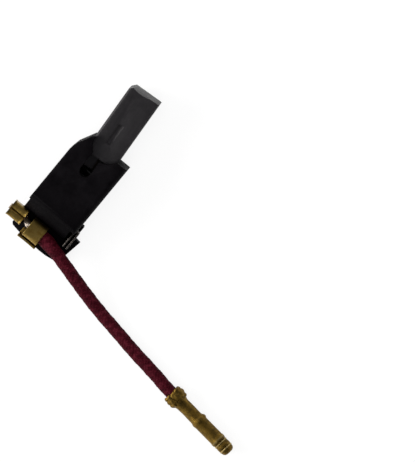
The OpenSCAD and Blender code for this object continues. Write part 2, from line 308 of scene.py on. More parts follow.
@dataclass(frozen=True)
class MouldedPlastic:
    """Matt black thermoset moulding with a slightly scuffed skin, with painted shade that darkens its rear
    end.
    """

    dark: Colour = (0.0011, 0.0008, 0.0012)
    pale: Colour = (0.0038, 0.0032, 0.0040)
    # painted shade: between these two places along Y the mottle fades to the dark colour, darkening the rear
    # end where it lies in shadow
    shade_rear_from: float = 0.5 * MM
    shade_rear_to: float = 7.0 * MM
    roughness: float = 0.6
    scuffed: float = 0.1
    gloss: float = 0.035
    tooth: float = 0.004 * MM

    def build(self, grain: NodeTree, drawn: NodeTree) -> Material:
        """Makes the material.

        Args:
            grain: the shared grain group.
            drawn: the shared drawn-line group.

        Returns:
            The material.
        """
        s = Shader("black moulding")
        g = s.group(grain, Mottle_size=2.6, Tooth_size=0.09)
        d = s.group(drawn, Turn=0.35, Width=0.22)
        place = s.add("SeparateXYZ")
        s.join(s.add("TexCoord"), "Object", place, "Vector")
        # painted shade: the colour darkens towards the rear end
        along = s.add("MapRange", From_Min=self.shade_rear_from, From_Max=self.shade_rear_to)
        s.join(place, "Y", along, "Value")
        rear_shaded = s.add("Math", operation="MULTIPLY")
        s.join(along, "Result", rear_shaded, 0)
        s.join(g, "Mottle", rear_shaded, 1)
        colour = s.ramp(rear_shaded, "Value", [(0.0, self.dark), (0.9, self.pale)])
        s.join(colour, "Color", s.bsdf, "Base Color")
        rough = s.span(d, "Scuffs", self.roughness, self.roughness - self.scuffed)
        s.join(rough, "Result", s.bsdf, "Roughness")
        s.bump(g, "Tooth", self.tooth, 0.5)
        s.put(Specular_IOR_Level=self.gloss)
        return s.material


@dataclass(frozen=True)
class PressedGraphite:
    """Carbon graphite, ground on its sides, with pores and a faint metallic sheen."""

    dark: Colour = (0.0098, 0.0090, 0.0103)
    pale: Colour = (0.0128, 0.0117, 0.0132)
    streak_dark: Colour = (0.55, 0.55, 0.55)
    streak_pale: Colour = (1.15, 1.15, 1.15)
    streaks: float = 0.35
    roughness: float = 0.5
    gloss: float = 0.24
    pores: float = 0.008 * MM

    def build(self, grain: NodeTree, drawn: NodeTree) -> Material:
        """Makes the material.

        Args:
            grain: the shared grain group.
            drawn: the shared drawn-line group.

        Returns:
            The material.
        """
        s = Shader("carbon graphite")
        g = s.group(grain, Mottle_size=1.3, Tooth_size=0.07)
        d = s.group(drawn, Turn=-0.07, Width=0.16)
        colour = s.ramp(g, "Mottle", [(0.1, self.dark), (0.9, self.pale)])
        streak = s.ramp(d, "Lines", [(0.0, self.streak_dark), (1.0, self.streak_pale)])
        ground = s.add("MixRGB", blend_type="MULTIPLY", Fac=self.streaks)
        s.join(colour, "Color", ground, "Color1")
        s.join(streak, "Color", ground, "Color2")
        s.join(ground, "Color", s.bsdf, "Base Color")
        rough = s.span(g, "Tooth", self.roughness - 0.08, self.roughness + 0.1)
        s.join(rough, "Result", s.bsdf, "Roughness")
        s.bump(g, "Tooth", self.pores, 0.6)
        s.put(Specular_IOR_Level=self.gloss)
        return s.material


@dataclass(frozen=True)
class WorkedMetal:
    """Metal that was stamped, rolled or drawn, with its lines, its tarnish and rims that are partly rubbed
    and partly a painted highlight.
    """

    name: str
    bright: Colour
    tarnished: Colour
    roughness: float = 0.32
    line_width: float = 0.1
    turn: float = 0.0
    worn_and_highlit: Colour | None = None
    line_depth: float = 0.004 * MM

    def build(self, grain: NodeTree, drawn: NodeTree) -> Material:
        """Makes the material; with a worn colour it mixes in brighter brass, partly rubbed wear and partly a
        painted highlight, by a tone stored on the mesh.

        Args:
            grain: the shared grain group.
            drawn: the shared drawn-line group.

        Returns:
            The material.
        """
        s = Shader(self.name)
        g = s.group(grain, Mottle_size=0.9, Tooth_size=0.08)
        d = s.group(drawn, Turn=self.turn, Width=self.line_width)
        colour = s.ramp(g, "Mottle", [(0.1, self.tarnished), (0.75, self.bright)])
        # the worn colour is painted on rims: partly rubbed wear, partly a painted highlight where the ridges
        # catch light
        if self.worn_and_highlit:
            wear_and_highlight = s.add("Attribute", attribute_name="wear_and_highlight", attribute_type="GEOMETRY")
            rubbed_and_highlit = s.add("MixRGB", Color2=(*self.worn_and_highlit, 1.0))
            s.join(wear_and_highlight, "Fac", rubbed_and_highlit, "Fac")
            s.join(colour, "Color", rubbed_and_highlit, "Color1")
            colour = rubbed_and_highlit
        s.join(colour, "Color", s.bsdf, "Base Color")
        rough = s.span(g, "Mottle", self.roughness + 0.12, self.roughness - 0.05)
        s.join(rough, "Result", s.bsdf, "Roughness")
        s.bump(d, "Lines", self.line_depth, 0.5)
        s.put(Metallic=1.0)
        return s.material


@dataclass(frozen=True)
class BraidedSleeve:
    """Dark red woven sleeve: colour by yarn with painted shade in the weave's dips, dull, with the weave in
    the mesh.
    """

    deep: Colour = (0.0155, 0.0006, 0.0021)
    mid: Colour = (0.0345, 0.0019, 0.0052)
    pale: Colour = (0.070, 0.0072, 0.0140)
    yarn_share: float = 0.5
    roughness: float = 0.7
    gloss: float = 0.04
    fuzz: float = 0.03 * MM

    def build(self, grain: NodeTree, _drawn: NodeTree) -> Material:
        """Makes the material; the attribute yarn carries the weave's tone, partly its own and partly painted
        shade in its dips.

        Args:
            grain: the shared grain group.
            _drawn: the shared drawn-line group, which cloth has no use for.

        Returns:
            The material.
        """
        s = Shader("red braided sleeve")
        g = s.group(grain, Mottle_size=0.8, Tooth_size=0.05)
        yarn = s.add("Attribute", attribute_name="yarn", attribute_type="GEOMETRY")
        both = s.add("MixRGB", blend_type="MIX", Fac=self.yarn_share)
        s.join(yarn, "Color", both, "Color1")
        s.join(g, "Mottle", both, "Color2")
        colour = s.ramp(both, "Color", [(0.1, self.deep), (0.5, self.mid), (0.95, self.pale)])
        s.join(colour, "Color", s.bsdf, "Base Color")
        rough = s.span(g, "Tooth", self.roughness - 0.1, self.roughness + 0.1)
        s.join(rough, "Result", s.bsdf, "Roughness")
        s.bump(g, "Tooth", self.fuzz, 0.7)
        s.put(Specular_IOR_Level=self.gloss)
        return s.material


@dataclass
class Finishes:
    """Every finish of the part, built once."""

    made: dict[Slot, Material] = field(default_factory=dict)
    pin: Material | None = None

    def build(self) -> None:
        """Builds the shared groups and then each material."""
        grain, drawn = grain_group(), drawn_group()
        copper = WorkedMetal("copper under carbon dust", (0.075, 0.058, 0.050), (0.030, 0.025, 0.023), 0.6)
        spring = WorkedMetal("blackened spring wire", (0.11, 0.11, 0.115), (0.05, 0.05, 0.052), 0.4)
        brass = WorkedMetal("dull brass", (0.335, 0.230, 0.064), (0.185, 0.119, 0.027), 0.4)
        tinned = WorkedMetal("tinned strands", (0.62, 0.55, 0.48), (0.30, 0.25, 0.20), 0.34, 0.05)
        clip = WorkedMetal("clip steel", (0.13, 0.115, 0.105), (0.055, 0.049, 0.045), 0.45)
        # the pin's worn colour paints its nose ridges and bead rim brighter: partly rubbed wear, partly a
        # painted highlight
        pin = WorkedMetal(
            "tarnished pin brass", (0.190, 0.115, 0.021), (0.097, 0.062, 0.015), roughness=0.6,
            line_width=0.14, turn=1.67, worn_and_highlit=(0.52, 0.41, 0.19),
        )
        kinds = {
            Slot.MOULDING: MouldedPlastic(),
            Slot.GRAPHITE: PressedGraphite(),
            Slot.COPPER: copper,
            Slot.SPRING: spring,
            Slot.BRASS: brass,
            Slot.TINNED: tinned,
            Slot.CLIP: clip,
            Slot.SLEEVE: BraidedSleeve(),
        }
        self.made = {slot: kind.build(grain, drawn) for slot, kind in kinds.items()}
        self.pin = pin.build(grain, drawn)

    def fit(self, piece: Object, slot: Slot, body: Body, node: str | None = None) -> None:
        """Dresses a piece, rides it on its body and lets it stand for its CAD node.

        Args:
            piece: a mesh of the builder's own.
            slot: which finish it takes.
            body: the body that it moves with.
            node: the CAD node that it replaces, if any.
        """
        piece.data.materials.clear()
        piece.data.materials.append(self.made[slot])
        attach(piece, body.value)
        if node:
            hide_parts(node)
        LOG.info("%s: %d faces", piece.name, len(piece.data.polygons))


# ---------------------------------------------------------------- mesh tools


def new_mesh(name: str, verts: np.ndarray | list, faces: list, smooth: float | None = 0.6) -> Object:
    """Makes a mesh object at the origin from places in millimetres.

    Args:
        name: the object's name.
        verts: its points, in millimetres in the row frame.
        faces: its faces, as indices.
        smooth: angle under which an edge is shaded smooth, in radians, or None for flat.

    Returns:
        The new object.
    """
    mesh = bpy.data.meshes.new(name)
    places = [tuple(float(c) * MM for c in v) for v in verts]
    mesh.from_pydata(places, [], [tuple(int(i) for i in f) for f in faces])
    mesh.validate()
    obj = bpy.data.objects.new(name, mesh)
    bpy.context.scene.collection.objects.link(obj)
    outward(mesh)
    if smooth is not None:
        shade(obj, smooth)
    return obj


def outward(mesh: Mesh) -> None:
    """Merges a mesh's doubles and turns its faces outwards.

    Args:
        mesh: a closed mesh.
    """
    work = bmesh.new()
    work.from_mesh(mesh)
    bmesh.ops.remove_doubles(work, verts=work.verts, dist=1e-7)
    bmesh.ops.recalc_face_normals(work, faces=work.faces)
    work.to_mesh(mesh)
    work.free()


def shade(obj: Object, angle: float) -> None:
    """Shades an object smooth except across its sharp edges.

    Args:
        obj: the object.
        angle: edges sharper than this stay sharp, in radians.
    """
    obj.data.polygons.foreach_set("use_smooth", [True] * len(obj.data.polygons))
    work = bmesh.new()
    work.from_mesh(obj.data)
    for edge in work.edges:
        edge.smooth = edge.is_manifold and edge.calc_face_angle(0.0) < angle
    work.to_mesh(obj.data)
    work.free()


def settle(obj: Object) -> Object:
    """Applies an object's modifiers to a plain mesh.

    Args:
        obj: a mesh object with live modifiers.

    Returns:
        The same object.
    """
    bpy.context.view_layer.update()
    ready = obj.evaluated_get(bpy.context.evaluated_depsgraph_get())
    mesh = bpy.data.meshes.new_from_object(ready)
    obj.modifiers.clear()
    obj.data = mesh
    return obj


def rounded(obj: Object, width: float, segments: int = 2, angle: float = 0.6) -> Object:
    """Rounds an object's sharp edges with an applied bevel.

    Args:
        obj: a closed mesh.
        width: the bevel's width in millimetres.
        segments: faces across the bevel.
        angle: edges sharper than this, in radians, are rounded.

    Returns:
        The object.
    """
    bevel = obj.modifiers.new("edge", "BEVEL")
    bevel.width = width * MM
    bevel.segments = segments
    bevel.limit_method = "ANGLE"
    bevel.angle_limit = angle
    bevel.miter_outer = "MITER_ARC"
    bevel.use_clamp_overlap = True
    settle(obj)
    shade(obj, SOFT)
    return obj


def cad_copy(node: str, name: str) -> Object:
    """Copies a CAD node's mesh, merged and with its flat faces whole, as a piece to finish.

    Args:
        node: the CAD node.
        name: the new piece's name.

    Returns:
        The new object.
    """
    work = bmesh.new()
    work.from_mesh(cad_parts[node].data)
    bmesh.ops.remove_doubles(work, verts=work.verts, dist=2e-6)
    bmesh.ops.dissolve_degenerate(work, edges=work.edges, dist=1e-6)
    bmesh.ops.dissolve_limit(work, angle_limit=0.01, verts=work.verts, edges=work.edges)
    bmesh.ops.recalc_face_normals(work, faces=work.faces)
    mesh = bpy.data.meshes.new(name)
    work.to_mesh(mesh)
    work.free()
    obj = bpy.data.objects.new(name, mesh)
    bpy.context.scene.collection.objects.link(obj)
    return obj


def rotated(points: np.ndarray, degrees: float) -> np.ndarray:
    """Turns points about Z.

    Args:
        points: the points.
        degrees: the angle.

    Returns:
        The turned points.
    """
    a = math.radians(degrees)
    turn = np.array([[math.cos(a), -math.sin(a), 0.0], [math.sin(a), math.cos(a), 0.0], [0.0, 0.0, 1.0]])
    return np.asarray(points, float) @ turn.T


def curve_through(points: list, steps: int) -> np.ndarray:
    """Runs a smooth curve through points.

    Args:
        points: the points, in millimetres.
        steps: how many steps each span gets.

    Returns:
        The curve's points.
    """
    p = np.asarray(points, float)
    out = []
    for i in range(len(p) - 1):
        a, b, c, d = p[max(i - 1, 0)], p[i], p[i + 1], p[min(i + 2, len(p) - 1)]
        for t in np.arange(steps) / steps:
            square, cube = 2 * a - 5 * b + 4 * c - d, 3 * b - a - 3 * c + d
            out.append(0.5 * (2 * b + (c - a) * t + square * t**2 + cube * t**3))
    out.append(p[-1])
    return np.array(out)


def spaced(line: np.ndarray, count: int) -> np.ndarray:
    """Resamples a line at even spacing.

    Args:
        line: its points.
        count: how many points it gets.

    Returns:
        The new points.
    """
    walk = np.concatenate([[0.0], np.cumsum(np.linalg.norm(np.diff(line, axis=0), axis=1))])
    at = np.linspace(0.0, walk[-1], count)
    return np.stack([np.interp(at, walk, line[:, k]) for k in range(3)], axis=1)


def side_and_up(line: np.ndarray) -> tuple[np.ndarray, np.ndarray]:
    """Finds the side and up directions along a line that keeps mostly level.

    Args:
        line: the points.

    Returns:
        Two arrays of unit vectors.
    """
    ahead = np.gradient(line, axis=0)
    ahead /= np.linalg.norm(ahead, axis=1, keepdims=True)
    side = np.cross([0.0, 0.0, 1.0], ahead)
    side /= np.linalg.norm(side, axis=1, keepdims=True)
    return side, np.cross(ahead, side)


def ring_faces(rings: int, sides: int, caps: bool = True) -> list[tuple[int, ...]]:
    """Joins rings of points into a skin.

    Args:
        rings: how many rings there are.
        sides: points in each ring.
        caps: whether the two ends are closed with one face each.

    Returns:
        The faces, as indices.
    """
    faces = [
        (i * sides + k, (i + 1) * sides + k, (i + 1) * sides + (k + 1) % sides, i * sides + (k + 1) % sides)
        for i in range(rings - 1)
        for k in range(sides)
    ]
    if caps:
        faces.append(tuple(range(sides)))
        faces.append(tuple(reversed(range((rings - 1) * sides, rings * sides))))
    return faces


def waves(along: np.ndarray | float, around: np.ndarray | float, *terms: tuple) -> np.ndarray:
    """Adds up sine waves that run along and round a piece.

    Args:
        along: place along it.
        around: place round it.
        terms: the height, rate along, rate round and phase of each wave.

    Returns:
        The sum at each place.
    """
    return sum(size * np.sin(a * along + b * around + phase) for size, a, b, phase in terms)


def tube(line: np.ndarray, radius: np.ndarray, sides: int) -> tuple[np.ndarray, list]:
    """Sweeps a closed tube along a line.

    Args:
        line: its centreline.
        radius: one radius for each point and side, or one for each point.
        sides: points round the tube.

    Returns:
        The points and faces.
    """
    side, up = side_and_up(line)
    turn = 2 * math.pi * np.arange(sides) / sides
    radius = np.asarray(radius, float).reshape(len(line), -1)
    ring = np.cos(turn)[None, :, None] * side[:, None, :] + np.sin(turn)[None, :, None] * up[:, None, :]
    verts = (line[:, None, :] + ring * radius[:, :, None]).reshape(-1, 3)
    return verts, ring_faces(len(line), sides)


def ribbon(middle: np.ndarray, thickness: float) -> np.ndarray:
    """Gives a folded strip's outline.

    Args:
        middle: the strip's middle line, as 2-D points.
        thickness: the strip's thickness.

    Returns:
        The closed outline, out along one side and back along the other.
    """
    step = np.gradient(middle, axis=0)
    step /= np.linalg.norm(step, axis=1, keepdims=True)
    normal = np.stack([-step[:, 1], step[:, 0]], axis=1)
    half = thickness / 2
    return np.concatenate([middle + normal * half, (middle - normal * half)[::-1]])


def arc(centre: tuple[float, float], radius: float, start: float, end: float, count: int = 8) -> np.ndarray:
    """Gives points on an arc between two angles in degrees."""
    a = np.radians(np.linspace(start, end, count))
    return np.stack([centre[0] + radius * np.cos(a), centre[1] + radius * np.sin(a)], axis=1)


def loft(name: str, sections: list[np.ndarray], smooth: float = 0.6) -> Object:
    """Joins sections of equal length into one closed skin.

    Args:
        name: the object's name.
        sections: closed outlines, each an array of 3-D points in millimetres.
        smooth: the shading angle in radians.

    Returns:
        The new object.
    """
    n = len(sections[0])
    faces = ring_faces(len(sections), n, caps=False)
    for base in (0, (len(sections) - 1) * n):
        faces += [(base + k, base + k + 1, base + n - 2 - k, base + n - 1 - k) for k in range(n // 2 - 1)]
    return new_mesh(name, np.concatenate(sections), faces, smooth)


def slab(name: str, outline: list, low: float, high: float, edge: float) -> Object:
    """Extrudes an outline upwards and rounds its edges.

    Args:
        name: the object's name.
        outline: 2-D points.
        low: height of its underside.
        high: height of its top.
        edge: the rounding's width.

    Returns:
        The new object.
    """
    n = len(outline)
    verts = [(x, y, low) for x, y in outline] + [(x, y, high) for x, y in outline]
    faces = [tuple(range(n))[::-1], tuple(range(n, 2 * n))]
    faces += [(k, (k + 1) % n, n + (k + 1) % n, n + k) for k in range(n)]
    return rounded(new_mesh(name, verts, faces, None), edge)


def store_tone(obj: Object, name: str, values: np.ndarray) -> None:
    """Stores one tone for each point of a piece.

    Args:
        obj: the piece.
        name: the attribute's name, which its finish reads.
        values: the tones, in the order of the points.
    """
    layer = obj.data.color_attributes.new(name, "FLOAT_COLOR", "POINT")
    rgba = np.ones((len(obj.data.vertices), 4), np.float32)
    rgba[:, :3] = np.resize(values, len(obj.data.vertices))[:, None]
    layer.data.foreach_set("color", rgba.reshape(-1))


def geometry_tree(name: str, sizes: dict[str, float | int]) -> NodeTree:
    """Makes a Geometry Nodes tree with Geometry, the given sizes and Material as inputs.

    Args:
        name: the tree's name.
        sizes: the name and default of each size; a whole number makes a whole-number input.

    Returns:
        The tree, with its input and output nodes.
    """
    tree = bpy.data.node_groups.new(name, "GeometryNodeTree")
    tree.interface.new_socket("Geometry", in_out="INPUT", socket_type="NodeSocketGeometry")
    for label, value in sizes.items():
        kind = "NodeSocketInt" if isinstance(value, int) else "NodeSocketFloat"
        tree.interface.new_socket(label, in_out="INPUT", socket_type=kind).default_value = value
    tree.interface.new_socket("Material", in_out="INPUT", socket_type="NodeSocketMaterial")
    tree.interface.new_socket("Geometry", in_out="OUTPUT", socket_type="NodeSocketGeometry")
    tree.nodes.new("NodeGroupInput")
    tree.nodes.new("NodeGroupOutput")
    return tree


def grow(obj: Object, tree: NodeTree, sizes: dict[str, object]) -> Object:
    """Runs a Geometry Nodes tree on an object and applies the result.

    Args:
        obj: the object that the tree starts from.
        tree: the tree.
        sizes: values of its named inputs.

    Returns:
        The object, as a plain mesh.
    """
    modifier = obj.modifiers.new(tree.name, "NODES")
    modifier.node_group = tree
    ids = {item.name: item.identifier for item in tree.interface.items_tree if item.in_out == "INPUT"}
    for label, value in sizes.items():
        modifier[ids[label]] = value
    return settle(obj)


def end_with_wire(tree: NodeTree, curve: NodeSocket, radius: NodeSocket, sides: int) -> None:
    """Ends a Geometry Nodes tree with a round wire along a curve, realized and with its material.

    Args:
        tree: a tree made by geometry_tree.
        curve: the wire's centreline.
        radius: the wire's radius.
        sides: points round the wire.
    """
    link = tree.links.new
    profile = add_node(tree, "GeometryNodeCurvePrimitiveCircle", Resolution=sides)
    skin = add_node(tree, "GeometryNodeCurveToMesh", Fill_Caps=True)
    smooth = add_node(tree, "GeometryNodeSetShadeSmooth")
    real = add_node(tree, "GeometryNodeRealizeInstances")
    paint = add_node(tree, "GeometryNodeSetMaterial")
    link(radius, profile.inputs["Radius"])
    link(curve, skin.inputs["Curve"])
    link(profile.outputs["Curve"], skin.inputs["Profile Curve"])
    link(skin.outputs["Mesh"], smooth.inputs["Geometry"])
    link(smooth.outputs["Geometry"], real.inputs["Geometry"])
    link(real.outputs["Geometry"], paint.inputs["Geometry"])
    link(tree.nodes["Group Input"].outputs["Material"], paint.inputs["Material"])
    link(paint.outputs["Geometry"], tree.nodes["Group Output"].inputs["Geometry"])


def weave(around: np.ndarray, along: np.ndarray, yarns: int, pitch: float) -> tuple[np.ndarray, np.ndarray]:
    """Works out a two-way braid on a tube.

    Args:
        around: place round the tube, in turns.
        along: place along the tube, in millimetres.
        yarns: yarns in each direction.
        pitch: length of one full turn of a yarn, in millimetres.

    Returns:
        The height from 0 to 1 and a tone from 0 to 1 for each place; the tone differs from yarn to yarn and
        carries painted shade, darker where the yarns dip.
    """
    left = around * yarns + along * yarns / pitch
    right = around * yarns - along * yarns / pitch
    a, b = left % 1.0, right % 1.0
    row, col = np.floor(left).astype(int), np.floor(right).astype(int)
    over = ((row + col) % 2 == 0).astype(float)
    ridge_a = np.sin(math.pi * a) ** 0.7
    ridge_b = np.sin(math.pi * b) ** 0.7
    swell_a = 0.5 + 0.5 * np.sin(math.pi * b)
    swell_b = 0.5 + 0.5 * np.sin(math.pi * a)
    height = over * ridge_a * swell_a + (1 - over) * ridge_b * swell_b
    cells = 64
    table = np.random.default_rng(7).random((cells, cells))
    on_left = table[row % cells, (row // 7) % cells]
    on_right = table[(col + 31) % cells, (col // 5) % cells]
    crossing = table[(row * 3) % cells, (col * 5) % cells]
    # tone: random for each yarn and crossing, plus painted shade that darkens the weave where the yarns dip
    tone = 0.25 * np.where(over > 0, on_left, on_right) + 0.35 * crossing + 0.4 * height
    return height, np.clip(tone, 0.0, 1.0)


# ---------------------------------------------------------------- sub-assemblies


@dataclass
class Lead:
    """The sleeved lead, its bared strands and the pin that ends it."""

    finishes: Finishes
    diameter: float = 2.5
    length_m: float = 0.0429
    exit_at: tuple = (1.1, -4.5, 4.8)
    stations: int = 560
    sides: int = 72
    yarns: int = 9
    braid_pitch: float = 6.4
    relief: float = 0.09
    swelling: float = 0.2
    swell_at: float = 4.3
    swell_reach: float = 1.5
    pinched_end: float = 0.93
    strand_count: int = 19
    strand_twist: float = 4.5
    route: tuple = (
        (-1.9, -4.5, 4.8), (-0.6, -4.5, 4.8), (1.1, -4.5, 4.8), (3.3, -4.8, 4.8), (5.5, -5.3, 4.75),
        (8.4, -6.1, 4.35), (11.0, -6.9, 3.4), (13.7, -7.7, 2.4), (16.4, -8.4, 1.75), (19.2, -9.0, 1.4),
        (22.1, -9.5, 1.3), (25.0, -10.0, 1.3), (27.9, -10.5, 1.3), (30.9, -10.9, 1.35), (33.8, -11.3, 1.5),
        (36.2, -11.7, 1.65), (37.7, -11.9, 1.7), (39.6, -12.1, 1.7),
    )
    strand_route: tuple = (
        (-7.25, -3.8, 4.05), (-6.0, -3.8, 4.05), (-4.4, -3.8, 4.08), (-3.6, -3.82, 4.2), (-2.9, -4.15, 4.6),
        (-2.3, -4.42, 4.8), (-1.7, -4.5, 4.8),
    )
    path: list = field(default_factory=list, init=False)

    def sleeve(self) -> Object:
        """Builds the braided sleeve along the lead's route.

        Returns:
            The sleeve's object.
        """
        line = spaced(curve_through(list(self.route), 8), self.stations)
        step = np.linalg.norm(np.diff(line, axis=0), axis=1).mean()
        along = np.arange(len(line))[:, None] * step
        around = (np.arange(self.sides) / self.sides)[None, :] + 0.0 * along
        drift = waves(along, around, (0.10, 1.7, 6.0, 0.0), (0.07, 3.9, -9.0, 1.0))
        height, tone = weave(around, along + drift, self.yarns, self.braid_pitch)
        turn = 2 * math.pi * around
        patches = waves(along, turn, (1.0, 2.9, 2, 0.0)) * waves(along, turn, (1.0, 1.3, -1, 0.8))
        patches += waves(along, turn, (0.6, 6.1, 3, 0.0))
        tone = np.clip(tone + 0.22 * patches, 0.0, 1.0)
        swell = self.swelling * np.exp(-(((along - self.swell_at) / self.swell_reach) ** 2))
        lumps = waves(along, turn, (0.02, 1.9, 1, 0.0), (0.015, 4.3, -2, 0.0)) * (along > self.swell_at)
        radius = self.diameter / 2 - self.relief * (1 - height) + swell + lumps
        radius[0] *= self.pinched_end
        radius[-1] *= self.pinched_end
        verts, faces = tube(line, radius, self.sides)
        obj = new_mesh("braided_sleeve", verts, faces, 1.2)
        store_tone(obj, "yarn", tone.reshape(-1))
        self.finishes.fit(obj, Slot.SLEEVE, Body.HOLDER, "lead_sleeve")
        self.path = [tuple(float(c) * MM for c in p) for p in line]
        return obj

    def strand_tree(self) -> NodeTree:
        """Builds the tree that lays twisted strands round a path.

        Returns:
            The tree, with Strands, Strand radius, Spacing and Twist as inputs.
        """
        sizes = {"Strands": 19, "Strand radius": 0.115 * MM, "Spacing": 0.23 * MM, "Twist": 4.0}
        tree = geometry_tree("twisted strands", sizes)
        link = tree.links.new
        start = tree.nodes["Group Input"]
        curve = add_node(tree, "GeometryNodeMeshToCurve")
        copies = add_node(tree, "GeometryNodeDuplicateElements", domain="SPLINE")
        link(start.outputs["Geometry"], curve.inputs["Mesh"])
        link(curve.outputs["Curve"], copies.inputs["Geometry"])
        link(start.outputs["Strands"], copies.inputs["Amount"])
        # strand 0 is the core, 1 to 6 lie round it and 7 to 18 round those
        number = copies.outputs["Duplicate Index"]
        inner = maths(tree, "GREATER_THAN", number, 0.5)
        outer = maths(tree, "GREATER_THAN", number, 6.5)
        ring = maths(tree, "MULTIPLY", maths(tree, "ADD", inner, outer), start.outputs["Spacing"])
        per_ring = maths(tree, "ADD", maths(tree, "MULTIPLY", outer, 6.0), 6.0)
        share = maths(tree, "DIVIDE", maths(tree, "MULTIPLY", number, 2 * math.pi), per_ring)
        factor = add_node(tree, "GeometryNodeSplineParameter").outputs["Factor"]
        angle = maths(tree, "ADD", share, maths(tree, "MULTIPLY", factor, start.outputs["Twist"]))
        turn = add_node(tree, "ShaderNodeVectorRotate")
        away = add_node(tree, "ShaderNodeVectorMath", operation="SCALE")
        move = add_node(tree, "GeometryNodeSetPosition")
        link(add_node(tree, "GeometryNodeInputNormal").outputs["Normal"], turn.inputs["Vector"])
        link(add_node(tree, "GeometryNodeInputTangent").outputs["Tangent"], turn.inputs["Axis"])
        link(angle, turn.inputs["Angle"])
        link(turn.outputs["Vector"], away.inputs[0])
        link(ring, away.inputs["Scale"])
        link(copies.outputs["Geometry"], move.inputs["Geometry"])
        link(away.outputs["Vector"], move.inputs["Offset"])
        end_with_wire(tree, move.outputs["Geometry"], start.outputs["Strand radius"], 8)
        return tree

    def strands(self) -> Object:
        """Builds the bared strands from the crimp to the sleeve.

        Returns:
            The strands' object.
        """
        path = spaced(curve_through(list(self.strand_route), 8), 60)
        mesh = bpy.data.meshes.new("bared_strands")
        places = [tuple(float(c) * MM for c in p) for p in path]
        mesh.from_pydata(places, [(i, i + 1) for i in range(len(path) - 1)], [])
        obj = bpy.data.objects.new("bared_strands", mesh)
        bpy.context.scene.collection.objects.link(obj)
        tinned = self.finishes.made[Slot.TINNED]
        sizes = {"Strands": self.strand_count, "Twist": self.strand_twist, "Material": tinned}
        grow(obj, self.strand_tree(), sizes)
        self.finishes.fit(obj, Slot.TINNED, Body.HOLDER, "conductor")
        return obj

    def build(self) -> None:
        sleeve = self.sleeve()
        strands = self.strands()
        pieces = BulletPin(self.finishes).build()
        length = sum(math.dist(a, b) for a, b in zip(self.path, self.path[1:]))
        LOG.info("lead: %.1f mm of sleeve", length / MM)


